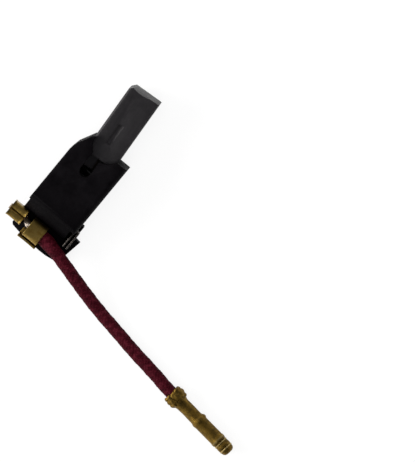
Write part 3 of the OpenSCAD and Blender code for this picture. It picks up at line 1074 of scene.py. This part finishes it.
@dataclass
class BulletPin:
    """The rolled brass pin on the lead's free end, with its ragged insulation wings."""

    finishes: Finishes
    at: tuple = (38.0, -11.93, 1.7)
    turn: float = -5.9
    radius: float = 1.39
    sides: int = 56
    seam: float = 4.0
    seam_depth: float = 0.2
    stop_bump: float = 0.14
    wing_len: float = 2.2
    neck_len: float = 4.9
    collar_len: float = 0.8
    barrel_len: float = 4.0
    bead_len: float = 0.9
    nose_len: float = 2.65
    mouth: float = 1.2
    half_wide: float = 1.78
    half_tall: float = 1.6
    squareness: float = 2.6
    wing_sides: int = 96
    wing_stations: int = 26
    folds: tuple = (
        (0.22, 1.75, 0.09, 0.16, 0.0), (0.12, 1.0, 0.12, 0.1, 1.5), (0.12, 2.4, 0.1, 0.12, 3.0),
        (0.1, 4.6, 0.12, 0.1, 0.5),
    )

    def place(self, points: np.ndarray) -> np.ndarray:
        """Moves points from the pin's own axis to its place in the row frame."""
        return rotated(points, self.turn) + np.array(self.at)

    def shell(self) -> Object:
        """Builds the rolled body: neck, collar, barrel with its seam, bead and grooved nose.

        Returns:
            The body's object, with a tone on its nose ridges and bead rim that is partly rubbed wear and
            partly a painted highlight.
        """
        r = self.radius
        collar = self.wing_len + self.neck_len
        barrel = collar + self.collar_len
        bead = barrel + self.barrel_len
        nose = bead + self.bead_len
        end = nose + self.nose_len
        outline = [
            (self.wing_len - 0.25, r + 0.1), (self.wing_len + 0.05, r + 0.12), (self.wing_len + 0.4, r),
            (self.wing_len + 0.8, r - 0.08), (self.wing_len + 2.0, r - 0.1), (collar - 0.6, r - 0.1),
            (collar - 0.3, r - 0.04), (collar, r + 0.08), (collar + 0.35, r + 0.09),
            (barrel - 0.15, r + 0.04), (barrel, r), (barrel + 1.0, r), (barrel + 2.0, r), (barrel + 3.0, r),
            (bead, r), (bead + 0.15, r + 0.05), (bead + 0.35, r + 0.07), (nose - 0.25, r + 0.06),
            (nose - 0.08, r), (nose, r - 0.06), (nose + 0.06, r - 0.12), (nose + 0.14, r + 0.01),
            (nose + 0.24, r + 0.03), (nose + 0.34, r + 0.01), (nose + 0.42, r - 0.07), (nose + 0.9, r - 0.02),
            (nose + 1.34, r - 0.03), (nose + 1.42, r - 0.1), (nose + 1.5, r - 0.01), (nose + 1.6, r + 0.01),
            (nose + 1.7, r - 0.01), (nose + 1.78, r - 0.1), (end - 0.6, r - 0.14), (end - 0.4, r - 0.22),
            (end - 0.2, r - 0.38), (end - 0.06, r - 0.62), (end, r - 0.9), (end, 0.12),
        ]
        # the nose ridges and the bead rim get brighter brass: partly rubbed wear, partly a painted highlight
        rubbed_and_highlit = ((nose + 0.24, 0.13, 1.0), (nose + 1.6, 0.13, 1.0), (bead + 0.35, 0.2, 0.35))
        gap = math.radians(self.seam)
        turns = -math.pi / 2 + np.concatenate(
            [[-gap, 0.0, gap], np.linspace(gap * 2.2, 2 * math.pi - gap * 2.2, self.sides - 3)]
        )
        verts, wear_and_highlight = [], []
        for x, radius in outline:
            rub_and_highlight = max(much * max(0.0, 1.0 - abs(x - place) / reach) for place, reach, much in rubbed_and_highlit)
            for k, t in enumerate(turns):
                seam = self.seam_depth if k == 1 and collar < x < nose - 0.1 else 0.0
                dent, bump = 0.0, 0.0
                if self.wing_len + 0.4 < x < collar - 0.2:
                    dent = waves(x, t, (0.05, 2.0, 3, 0.0), (0.03, -3.1, 5, 0.0))
                if collar - 0.1 < x < collar + 0.5:
                    bump = self.stop_bump * max(0.0, math.cos(t - 0.15)) ** 6
                far = radius - seam + dent + bump
                verts.append((x, far * math.cos(t), far * math.sin(t)))
                wear_and_highlight.append(rub_and_highlight)
        faces = ring_faces(len(outline), len(turns))
        obj = new_mesh("bullet_pin_body", self.place(np.array(verts)), faces, SOFT)
        store_tone(obj, "wear_and_highlight", np.array(wear_and_highlight))
        return obj

    def wings(self) -> Object:
        """Builds the crushed insulation wings: a lumpy wrap with folds and ragged ends.

        Returns:
            The wings' object.
        """
        turns = 2 * math.pi * np.arange(self.wing_sides) / self.wing_sides
        cos, sin = np.cos(turns), np.sin(turns)
        ragged = waves(0.0, turns, (0.09, 0, 5, 0.7), (0.06, 0, 11, 2.0), (0.04, 0, 19, 0.0))
        rings = [np.column_stack([0.12 + ragged, self.mouth * cos, self.mouth * sin])]
        for f in np.linspace(0.0, 1.0, self.wing_stations):
            wide = self.half_wide + 0.14 * math.sin(math.pi * f) + 0.07 * math.sin(4.8 * math.pi * f + 0.6)
            tall = self.half_tall + 0.06 * math.sin(math.pi * f)
            power = self.squareness
            shape = ((np.abs(cos) / wide) ** power + (np.abs(sin) / tall) ** power) ** (-1 / power)
            folds = sum(
                depth * np.exp(-(((turns - middle - swing * math.sin(5.0 * f + phase)) / width) ** 2))
                for depth, middle, width, swing, phase in self.folds
            )
            crumple = waves(f, turns, (0.045, 5.0, 3, 0.0), (0.018, -7.0, 8, 1.0))
            end = 1.0 - 0.10 * max(0.0, 1 - 9 * f) - 0.12 * max(0.0, 9 * f - 8)
            radius = (shape - folds + crumple) * end
            x = f * self.wing_len + ragged * (1 - f) + 1.6 * ragged[::-1] * f
            rings.append(np.column_stack([x, radius * cos, radius * sin]))
        rings.append(np.column_stack([self.wing_len - 0.1 + 0 * turns, 1.1 * cos, 1.1 * sin]))
        verts = self.place(np.concatenate(rings))
        obj = new_mesh("bullet_pin_wings", verts, ring_faces(len(rings), self.wing_sides), SOFT)
        store_tone(obj, "wear_and_highlight", np.zeros(len(obj.data.vertices)))
        return obj

    def build(self) -> list[Object]:
        """Builds the pin's pieces and puts them in the CAD pin's place.

        Returns:
            The pieces.
        """
        shell, wings = self.shell(), self.wings()
        for piece, node in ((shell, "bullet_pin"), (wings, None)):
            self.finishes.fit(piece, Slot.BRASS, Body.HOLDER, node)
            piece.data.materials[0] = self.finishes.pin
        return [shell, wings]


@dataclass
class HolderMoulding:
    """The black moulding and the thin metal clip on its foot."""

    finishes: Finishes
    edge: float = 0.13
    clip_edge: float = 0.05

    def build(self) -> None:
        """Builds the moulding and the clip from the CAD solids, with their edges rounded."""
        body = rounded(cad_copy("holder", "holder_moulding"), self.edge)
        self.finishes.fit(body, Slot.MOULDING, Body.HOLDER, "holder")
        clip = rounded(cad_copy("retaining_clip", "foot_clip"), self.clip_edge)
        self.finishes.fit(clip, Slot.CLIP, Body.HOLDER, "retaining_clip")


@dataclass
class CarbonBlock:
    """The carbon block with the copper plug that is tamped into its heel."""

    finishes: Finishes
    edge: float = 0.07
    plug_edge: float = 0.1
    end_from: float = 24.0
    ground_off: float = 0.4
    ground_more: float = 0.22
    low_face: float = 1.55
    depth: float = 6.35
    groove_from: float = 16.0
    groove_to: float = 22.0
    groove_low: float = 7.3
    groove_high: float = 7.7
    groove_right: float = 0.9
    groove_slope: float = 0.32

    def grind(self, mesh: Mesh) -> None:
        """Grinds the contact end back, more at the front face, and slopes the groove's right wall.

        Args:
            mesh: the block's mesh.
        """
        lean = math.radians(LEAN)
        run_out = Vector((-math.sin(lean), math.cos(lean), 0.0))
        across = Vector((math.cos(lean), math.sin(lean), 0.0))
        for point in mesh.vertices:
            if point.co.dot(run_out) > self.end_from * MM:
                front = (point.co.z / MM - self.low_face) / self.depth
                point.co -= run_out * (self.ground_off + self.ground_more * front) * MM
            on_groove = self.groove_from < point.co.dot(run_out) / MM < self.groove_to
            at_edge = self.groove_low < point.co.z / MM < self.groove_high
            if on_groove and at_edge and point.co.dot(across) / MM > self.groove_right:
                point.co -= across * self.groove_slope * MM

    def build(self) -> None:
        """Builds the block with lightly broken edges and the plug with a rough face."""
        block = cad_copy("carbon_block", "graphite_block")
        self.grind(block.data)
        self.finishes.fit(rounded(block, self.edge, angle=0.5), Slot.GRAPHITE, Body.BRUSH, "carbon_block")
        plug = rounded(cad_copy("tamped_plug", "copper_plug"), self.plug_edge)
        self.finishes.fit(plug, Slot.COPPER, Body.BRUSH, "tamped_plug")


@dataclass
class FeedWorks:
    """The pressure spring and the copper shunt behind the block."""

    finishes: Finishes
    centre_x: float = 0.64
    centre_z: float = 4.725
    seat_y: float = 1.9
    heel_y: float = 11.2
    mouth_y: float = 15.5
    coil: float = 4.6
    wire: float = 0.4
    turns: float = 7.0
    seat_gap: float = 0.02
    heel_gap: float = 0.15
    shunt: float = 0.9
    shunt_relief: float = 0.06
    shunt_sides: int = 36
    shunt_yarns: int = 8
    shunt_pitch: float = 2.6
    kept: float = 0.37

    def spring_tree(self) -> NodeTree:
        """Builds the tree of a coil spring with closed ends, standing along Z.

        Returns:
            The tree, with Turns, Coil radius, Wire radius and Height as inputs.
        """
        sizes = {"Turns": 7.0, "Coil radius": 2.0 * MM, "Wire radius": 0.2 * MM, "Height": 9.0 * MM}
        tree = geometry_tree("pressure spring", sizes)
        link = tree.links.new
        start = tree.nodes["Group Input"]
        spiral = add_node(tree, "GeometryNodeCurveSpiral", Resolution=36)
        for label, socket in (
            ("Turns", "Rotations"), ("Coil radius", "Start Radius"), ("Coil radius", "End Radius"),
            ("Height", "Height"),
        ):
            link(start.outputs[label], spiral.inputs[socket])
        # the first and the last turn lie nearly flat
        rise = add_node(tree, "ShaderNodeFloatCurve")
        points = rise.mapping.curves[0].points
        points.new(1 / 7, 0.05)
        points.new(6 / 7, 0.95)
        for point in points:
            point.handle_type = "VECTOR"
        rise.mapping.update()
        link(add_node(tree, "GeometryNodeSplineParameter").outputs["Factor"], rise.inputs["Value"])
        height = maths(tree, "MULTIPLY", rise.outputs["Value"], start.outputs["Height"])
        apart = add_node(tree, "ShaderNodeSeparateXYZ")
        joined = add_node(tree, "ShaderNodeCombineXYZ")
        move = add_node(tree, "GeometryNodeSetPosition")
        link(add_node(tree, "GeometryNodeInputPosition").outputs["Position"], apart.inputs["Vector"])
        link(apart.outputs["X"], joined.inputs["X"])
        link(apart.outputs["Y"], joined.inputs["Y"])
        link(height, joined.inputs["Z"])
        link(spiral.outputs["Curve"], move.inputs["Geometry"])
        link(joined.outputs["Vector"], move.inputs["Position"])
        end_with_wire(tree, move.outputs["Geometry"], start.outputs["Wire radius"], 12)
        return tree

    def spring(self) -> Object:
        """Builds the spring between its seat and the heel of the block.

        Returns:
            The spring's object.
        """
        obj = bpy.data.objects.new("coil_spring", bpy.data.meshes.new("coil_spring"))
        bpy.context.scene.collection.objects.link(obj)
        sizes = {
            "Turns": self.turns,
            "Coil radius": (self.coil - self.wire) / 2 * MM,
            "Wire radius": self.wire / 2 * MM,
            "Height": (self.heel_y - self.heel_gap - self.seat_y - self.wire) * MM,
            "Material": self.finishes.made[Slot.SPRING],
        }
        grow(obj, self.spring_tree(), sizes)
        foot_y = self.seat_y + self.wire / 2 + self.seat_gap
        lay = Matrix.Translation(Vector((self.centre_x, foot_y, self.centre_z)) * MM)
        obj.data.transform(lay @ Matrix.Rotation(-math.pi / 2, 4, "X"))
        outward(obj.data)
        self.finishes.fit(obj, Slot.SPRING, Body.HOLDER, "pressure_spring")
        return obj

    def cord(self) -> Object:
        """Builds the flexible shunt, a fine copper braid, from the seat to the plug.

        Returns:
            The shunt's object.
        """
        x, z, y = self.centre_x, self.centre_z, self.seat_y
        lean = math.radians(LEAN)
        heel = np.array([(self.mouth_y - self.heel_y) * math.tan(lean), self.heel_y, z])
        back = heel - 0.9 * np.array([-math.sin(lean), math.cos(lean), 0.0])
        bends = [
            (x, y, z), (x, y + 0.9, z), (x + 0.5, y + 2.6, z + 0.6), (x - 0.5, y + 4.4, z - 0.7),
            (x + 0.4, y + 6.2, z + 0.6), tuple(back), tuple(heel),
        ]
        line = spaced(curve_through(bends, 8), 150)
        # the tube is swept with X and Y swapped, because it needs a line that keeps mostly level
        swapped = line[:, [1, 0, 2]]
        step = np.linalg.norm(np.diff(swapped, axis=0), axis=1).mean()
        sides = self.shunt_sides
        along = np.arange(len(line))[:, None] * step + np.zeros((1, sides))
        around = (np.arange(sides) / sides)[None, :] + 0 * along
        height, _ = weave(around, along, self.shunt_yarns, self.shunt_pitch)
        verts, faces = tube(swapped, self.shunt / 2 - self.shunt_relief * (1 - height), sides)
        obj = new_mesh("shunt_braid", verts[:, [1, 0, 2]], faces, 1.2)
        self.finishes.fit(obj, Slot.COPPER, Body.HOLDER, "shunt")
        return obj

    def build(self) -> None:
        """Builds the spring and the shunt, each with a mesh of its own."""
        for piece in (self.spring(), self.cord()):
            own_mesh(piece)


@dataclass
class FlagTerminal:
    """The brass flag terminal: two crimps, the strip between them and the spring's seat."""

    finishes: Finishes
    strip: float = 0.4
    base_z: float = 2.9
    wire_crimp: tuple = (-7.0, -3.75)
    wire_y: float = -3.8
    sleeve_crimp: tuple = (-2.15, 1.12)
    outer_wing: tuple = (-2.75, 1.35)
    sleeve_y: float = -4.5
    flare: float = 0.07
    flare_share: float = 0.16
    tail_left: float = -5.2
    tail_right: float = -0.846
    rear_wall: float = 1.5
    seat_left: float = -1.946
    seat_right: float = 3.304
    seat_low: float = 1.7
    seat_high: float = 7.65
    edge: float = 0.06
    crimp_edge: float = 0.07
    end_taper: float = 0.982
    bed_gap: float = 0.005

    def conductor_crimp(self) -> Object:
        """Builds the crimp on the bared strands: two wings curled in to a seam, bell-mouthed.

        Returns:
            The crimp's object.
        """
        turn = np.radians(np.linspace(180, 0, 15))
        lobe_x = 0.545 * np.sign(np.cos(turn)) * np.abs(np.cos(turn)) ** 0.62
        lobe = np.stack([lobe_x, 2.62 + 0.42 * np.sin(turn) ** 0.7], axis=1)
        middle = np.concatenate([
            [(0.225, 1.5)], lobe + (0.77, 0.0), arc((0.96, 0.55), 0.35, 0, -90, 6),
            arc((-0.96, 0.55), 0.35, -90, -180, 6), lobe - (0.77, 0.0), [(-0.225, 1.5)],
        ])
        outline = ribbon(middle, self.strip)
        centre = np.array([0.0, 1.5])
        x0, x1 = self.wire_crimp
        sections = []
        for f in (0.0, 0.02, 0.06, 0.12, 0.2, 0.35, 0.5, 0.65, 0.8, 0.88, 0.94, 0.98, 1.0):
            near_end = max(0.0, 1 - f / self.flare_share) ** 2 + max(0.0, 1 - (1 - f) / self.flare_share) ** 2
            shape = (outline - centre) * (1 + self.flare * near_end) + centre
            if f in (0.0, 1.0):
                shape = (shape - shape.mean(0)) * self.end_taper + shape.mean(0)
            places = shape + (self.wire_y, self.base_z)
            sections.append(np.column_stack([np.full(len(shape), x0 + f * (x1 - x0)), places]))
        return loft("conductor_crimp", sections, SOFT)

    def insulation_crimp(self) -> list[Object]:
        """Builds the crimp on the sleeve: a wrap over the top, and the other wing up outside it.

        Returns:
            The wrap and the wing.
        """
        wrap = np.concatenate([
            [(-1.88, 1.0), (-1.8, 1.9)], arc((-1.05, 2.6), 0.72, 180, 95, 9), [(0.0, 3.36)],
            arc((1.0, 2.55), 0.78, 88, 0, 9), [(1.8, 1.7)], arc((1.1, 0.9), 0.7, 0, -90, 7), [(-1.0, 0.2)],
        ])
        wing = np.concatenate([
            [(-0.9, 0.2)], arc((-1.68, 0.95), 0.72, -90, -170, 8), [(-2.42, 1.5), (-2.47, 2.05), (-2.5, 2.5)],
        ])
        centre = np.array([0.0, 1.7])
        pieces = []
        for name, middle, (x0, x1) in (
            ("insulation_wrap", wrap, self.sleeve_crimp),
            ("insulation_wing", wing, self.outer_wing),
        ):
            outline = ribbon(middle, self.strip)
            sections = []
            for f in (0.0, 0.03, 0.12, 0.3, 0.5, 0.7, 0.88, 0.97, 1.0):
                shape = (outline - centre) * (1 - 0.02 * math.sin(math.pi * f)) + centre
                places = shape + (self.sleeve_y, self.base_z)
                sections.append(np.column_stack([np.full(len(shape), x0 + f * (x1 - x0)), places]))
            pieces.append(rounded(loft(name, sections, SOFT), self.crimp_edge, angle=0.9))
        return pieces

    def strip_and_seat(self) -> list[Object]:
        """Builds the flat strip under the crimps and the seat folded up in the box.

        Returns:
            The strip and the seat.
        """
        left, right = self.tail_left, self.tail_right
        rear, front = self.rear_wall, self.rear_wall + self.strip
        flat = [
            (-6.6, -4.6), (-3.7, -4.6), (-2.0, -5.0), (-1.0, -5.0), (-1.0, -4.0), (-2.2, -3.9), (-3.8, -3.4),
            (-3.8, -2.3), (right, -1.6), (right, front), (left, front), (left, -2.2), (-6.3, -2.8),
        ]
        seat_left, seat_right = self.seat_left, self.seat_right
        fold = [(seat_left, rear), (seat_right, rear), (seat_right, front), (seat_left, front)]
        return [
            slab("terminal_strip", flat, self.base_z + self.bed_gap, self.base_z + self.strip, self.edge),
            slab("spring_seat", fold, self.seat_low, self.seat_high, self.edge),
        ]

    def build(self) -> None:
        """Builds the terminal's pieces in the CAD terminal's place."""
        self.finishes.fit(self.conductor_crimp(), Slot.BRASS, Body.HOLDER, "flag_terminal")
        for piece in (*self.insulation_crimp(), *self.strip_and_seat()):
            self.finishes.fit(piece, Slot.BRASS, Body.HOLDER)


# ---------------------------------------------------------------- studio


@dataclass
class Studio:
    """A plain pale floor, a soft tent of light and the camera that looks down on the part."""

    target: tuple = (24.0, 16.5, 9.4)
    tilt: float = 6.0
    height: float = 85.5
    distance: float = 2500.0
    across: tuple = (0.771, 0.637)
    bright_side: tuple = (-0.97, 0.24, 0.0)
    even_light: float = 0.42
    floor_glow: float = 0.82

    def camera(self) -> None:
        """Puts the camera above the part, leaning to the contact end and turned in its own plane."""
        tilt = math.radians(self.tilt)
        back = Vector((0.0, math.sin(tilt), math.cos(tilt)))
        along = Vector((0.0, math.cos(tilt), -math.sin(tilt)))
        right = (Vector((1.0, 0.0, 0.0)) * self.across[0] + along * self.across[1]).normalized()
        up = back.cross(right).normalized()
        data = bpy.data.cameras.new("camera")
        data.lens = 36.0 * self.distance / self.height
        data.clip_start, data.clip_end = 0.01, 10.0
        cam = bpy.data.objects.new("camera", data)
        bpy.context.scene.collection.objects.link(cam)
        turn = Matrix((right, up, back)).transposed().to_4x4()
        cam.matrix_world = Matrix.Translation((Vector(self.target) + back * self.distance) * MM) @ turn
        bpy.context.scene.camera = cam

    def world(self) -> None:
        """Fills the world: a tent that gloss reflects, an even light for the rest, white behind."""
        world = bpy.data.worlds.new("tent")
        bpy.context.scene.world = world
        world.use_nodes = True
        tree = world.node_tree
        tree.nodes.clear()
        link = tree.links.new
        place = add_node(tree, "ShaderNodeTexCoord")
        apart = add_node(tree, "ShaderNodeSeparateXYZ")
        overhead = add_node(
            tree, "ShaderNodeMapRange", interpolation_type="SMOOTHSTEP",
            From_Min=0.15, From_Max=0.8, To_Min=1.0, To_Max=0.10,
        )
        facing = add_node(tree, "ShaderNodeVectorMath", operation="DOT_PRODUCT")
        facing.inputs[1].default_value = self.bright_side
        sided = add_node(tree, "ShaderNodeMapRange", From_Min=-0.8, From_Max=0.9, To_Min=0.3, To_Max=1.7)
        link(place.outputs["Generated"], apart.inputs["Vector"])
        link(apart.outputs["Z"], overhead.inputs["Value"])
        link(place.outputs["Generated"], facing.inputs[0])
        link(facing.outputs["Value"], sided.inputs["Value"])
        white = add_node(tree, "ShaderNodeBackground", Color=(1, 1, 1, 1), Strength=1.0)
        even = add_node(tree, "ShaderNodeBackground", Color=(1, 1, 1, 1), Strength=self.even_light)
        tent = add_node(tree, "ShaderNodeBackground", Color=(1.0, 0.99, 0.98, 1))
        glow = maths(tree, "MULTIPLY", overhead.outputs["Result"], sided.outputs["Result"])
        link(glow, tent.inputs["Strength"])
        paths = add_node(tree, "ShaderNodeLightPath")
        seen = maths(tree, "MAXIMUM", paths.outputs["Is Camera Ray"], paths.outputs["Is Transmission Ray"])
        lit = add_node(tree, "ShaderNodeMixShader")
        shown = add_node(tree, "ShaderNodeMixShader")
        out = add_node(tree, "ShaderNodeOutputWorld")
        link(paths.outputs["Is Glossy Ray"], lit.inputs["Fac"])
        link(even.outputs["Background"], lit.inputs[1])
        link(tent.outputs["Background"], lit.inputs[2])
        link(seen, shown.inputs["Fac"])
        link(lit.outputs["Shader"], shown.inputs[1])
        link(white.outputs["Background"], shown.inputs[2])
        link(shown.outputs["Shader"], out.inputs["Surface"])

    def lamps(self) -> None:
        """Hangs one broad lamp on the left of the frame and a softer one overhead."""
        aim = Vector((10.0, 0.0, 3.0)) * MM
        for name, size, power, place, tint, shows in (
            ("side lamp", 0.30, 2.4, (-290.0, -190.0, 150.0), (1.0, 0.98, 0.96), True),
            ("top lamp", 0.50, 2.0, (60.0, 80.0, 520.0), (1.0, 1.0, 1.0), False),
        ):
            data = bpy.data.lights.new(name, "AREA")
            data.shape, data.size, data.energy, data.color = "SQUARE", size, power, tint
            lamp = bpy.data.objects.new(name, data)
            lamp.location = Vector(place) * MM
            lamp.rotation_euler = (aim - lamp.location).to_track_quat("-Z", "Y").to_euler()
            lamp.visible_glossy = shows
            bpy.context.scene.collection.objects.link(lamp)

    def floor(self) -> None:
        """Lays the pale floor that the part rests on."""
        s = Shader("pale floor")
        s.put(Base_Color=(0.93, 0.93, 0.93, 1.0), Roughness=0.9, Specular_IOR_Level=0.0)
        glow = s.add("Emission", Strength=1.0)
        mix = s.add("MixShader")
        paths = s.add("LightPath")
        share = s.add("Math", operation="MULTIPLY")
        share.inputs[1].default_value = self.floor_glow
        s.join(paths, "Is Camera Ray", share, 0)
        s.join(share, "Value", mix, "Fac")
        s.join(s.bsdf, "BSDF", mix, 1)
        s.join(glow, "Emission", mix, 2)
        s.join(mix, "Shader", s.out, "Surface")
        half = 3.0
        mesh = bpy.data.meshes.new("floor")
        corners = [(-half, -half, 0), (half, -half, 0), (half, half, 0), (-half, half, 0)]
        mesh.from_pydata(corners, [], [(0, 1, 2, 3)])
        mesh.materials.append(s.material)
        obj = bpy.data.objects.new("floor", mesh)
        bpy.context.scene.collection.objects.link(obj)

    def build(self) -> None:
        """Sets the view transform and builds the light and the floor."""
        bpy.context.scene.view_settings.view_transform = "Standard"
        self.world()
        self.lamps()
        self.floor()


def main() -> None:
    """Builds the studio, the lead and then each sub-assembly."""
    logging.basicConfig(level=logging.INFO, format="%(name)s: %(message)s")
    studio = Studio()
    studio.camera()
    finishes = Finishes()
    finishes.build()
    Lead(finishes).build()
    HolderMoulding(finishes).build()
    CarbonBlock(finishes).build()
    FeedWorks(finishes).build()
    FlagTerminal(finishes).build()
    studio.build()
    bpy.context.view_layer.update()


if __name__ == "__main__":
    main()
